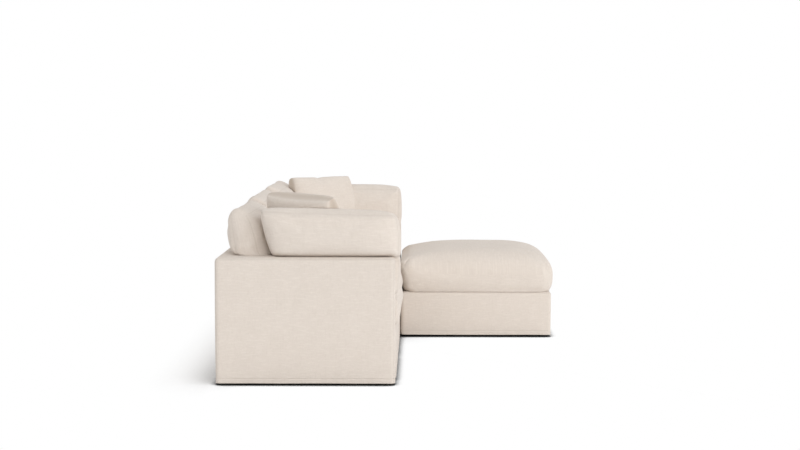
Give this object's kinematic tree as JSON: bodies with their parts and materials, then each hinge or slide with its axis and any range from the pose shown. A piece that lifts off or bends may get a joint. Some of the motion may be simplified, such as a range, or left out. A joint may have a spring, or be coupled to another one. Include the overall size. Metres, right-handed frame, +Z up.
{
  "type": "sectional sofa with chaise",
  "caption": "Modular slipcovered sofa with box panels, loose crowned cushions and an ottoman set before one end as the chaise.",
  "frame": {"origin": "on the floor under the middle of the bounding box", "axes": "+X along the back towards the chaise end, the seats face -Y, +Z up"},
  "size_m": [2.68, 1.902, 0.9735],
  "materials": {
    "cover_linen": "oatmeal slub linen weave, matt",
    "cushion_linen": "oatmeal slub linen weave, matt",
    "pillow_linen": "oatmeal slub linen weave, matt",
    "dust_cloth": "thin black non-woven cloth",
    "panel_wadding": "white polyester wadding over foam and board",
    "deck_foam": "cream upholstery foam",
    "webbing": "jute and elastic webbing",
    "timber": "sawn pine, unfinished",
    "glide_plastic": "moulded black plastic",
    "clip_steel": "zinc plated steel strap"
  },
  "bodies": {
    "sofa_frame": {"left_base_cover": "cover_linen", "left_deck_pad": "deck_foam", "left_webbing": "webbing", "left_seat_frame": "timber", "left_dust_cover": "dust_cloth", "left_back_panel_cover": "cover_linen", "left_back_panel_core": "panel_wadding", "left_foot_1": "glide_plastic", "left_foot_2": "glide_plastic", "left_foot_3": "glide_plastic", "left_foot_4": "glide_plastic", "middle_base_cover": "cover_linen", "middle_deck_pad": "deck_foam", "middle_webbing": "webbing", "middle_seat_frame": "timber", "middle_dust_cover": "dust_cloth", "middle_back_panel_cover": "cover_linen", "middle_back_panel_core": "panel_wadding", "middle_foot_1": "glide_plastic", "middle_foot_2": "glide_plastic", "middle_foot_3": "glide_plastic", "middle_foot_4": "glide_plastic", "right_base_cover": "cover_linen", "right_deck_pad": "deck_foam", "right_webbing": "webbing", "right_seat_frame": "timber", "right_dust_cover": "dust_cloth", "right_back_panel_cover": "cover_linen", "right_back_panel_core": "panel_wadding", "right_foot_1": "glide_plastic", "right_foot_2": "glide_plastic", "right_foot_3": "glide_plastic", "right_foot_4": "glide_plastic", "left_side_panel_cover": "cover_linen", "left_side_panel_core": "panel_wadding", "left_module_clip": "clip_steel", "right_side_panel_cover": "cover_linen", "right_side_panel_core": "panel_wadding", "right_module_clip": "clip_steel"},
    "ottoman_base": {"ottoman_base_cover": "cover_linen", "ottoman_deck_pad": "deck_foam", "ottoman_webbing": "webbing", "ottoman_seat_frame": "timber", "ottoman_dust_cover": "dust_cloth", "ottoman_foot_1": "glide_plastic", "ottoman_foot_2": "glide_plastic", "ottoman_foot_3": "glide_plastic", "ottoman_foot_4": "glide_plastic"},
    "ottoman_top": {"ottoman_cushion": "cushion_linen"},
    "left_seat": {"left_seat_cushion": "cushion_linen"},
    "left_back": {"left_back_cushion": "cushion_linen"},
    "left_side": {"left_side_cushion": "cushion_linen"},
    "left_pillow": {"left_throw_pillow": "pillow_linen"},
    "middle_seat": {"middle_seat_cushion": "cushion_linen"},
    "middle_back": {"middle_back_cushion": "cushion_linen"},
    "right_seat": {"right_seat_cushion": "cushion_linen"},
    "right_back": {"right_back_cushion": "cushion_linen"},
    "right_side": {"right_side_cushion": "cushion_linen"},
    "right_pillow": {"right_throw_pillow": "pillow_linen"}
  },
  "joints": [
    {"name": "ottoman_pull_away", "type": "slide", "parent": "sofa_frame", "child": "ottoman_base", "axis": [0, -1, 0], "range_m": [0, 0.6]},
    {"name": "ottoman_cushion_lift", "type": "slide", "parent": "ottoman_base", "child": "ottoman_top", "axis": [0, 0, 1], "range_m": [0, 0.25]},
    {"name": "left_seat_cushion_lift", "type": "slide", "parent": "sofa_frame", "child": "left_seat", "axis": [0, 0, 1], "range_m": [0, 0.25]},
    {"name": "left_back_cushion_lift", "type": "slide", "parent": "left_seat", "child": "left_back", "axis": [0, 0, 1], "range_m": [0, 0.25]},
    {"name": "left_side_cushion_lift", "type": "slide", "parent": "left_back", "child": "left_side", "axis": [0, 0, 1], "range_m": [0, 0.25]},
    {"name": "left_throw_pillow_lift", "type": "slide", "parent": "left_side", "child": "left_pillow", "axis": [0, 0, 1], "range_m": [0, 0.25]},
    {"name": "middle_seat_cushion_lift", "type": "slide", "parent": "sofa_frame", "child": "middle_seat", "axis": [0, 0, 1], "range_m": [0, 0.25]},
    {"name": "middle_back_cushion_lift", "type": "slide", "parent": "middle_seat", "child": "middle_back", "axis": [0, 0, 1], "range_m": [0, 0.25]},
    {"name": "right_seat_cushion_lift", "type": "slide", "parent": "sofa_frame", "child": "right_seat", "axis": [0, 0, 1], "range_m": [0, 0.25]},
    {"name": "right_back_cushion_lift", "type": "slide", "parent": "right_seat", "child": "right_back", "axis": [0, 0, 1], "range_m": [0, 0.25]},
    {"name": "right_side_cushion_lift", "type": "slide", "parent": "right_back", "child": "right_side", "axis": [0, 0, 1], "range_m": [0, 0.25]},
    {"name": "right_throw_pillow_lift", "type": "slide", "parent": "right_side", "child": "right_pillow", "axis": [0, 0, 1], "range_m": [0, 0.25]}
  ]
}
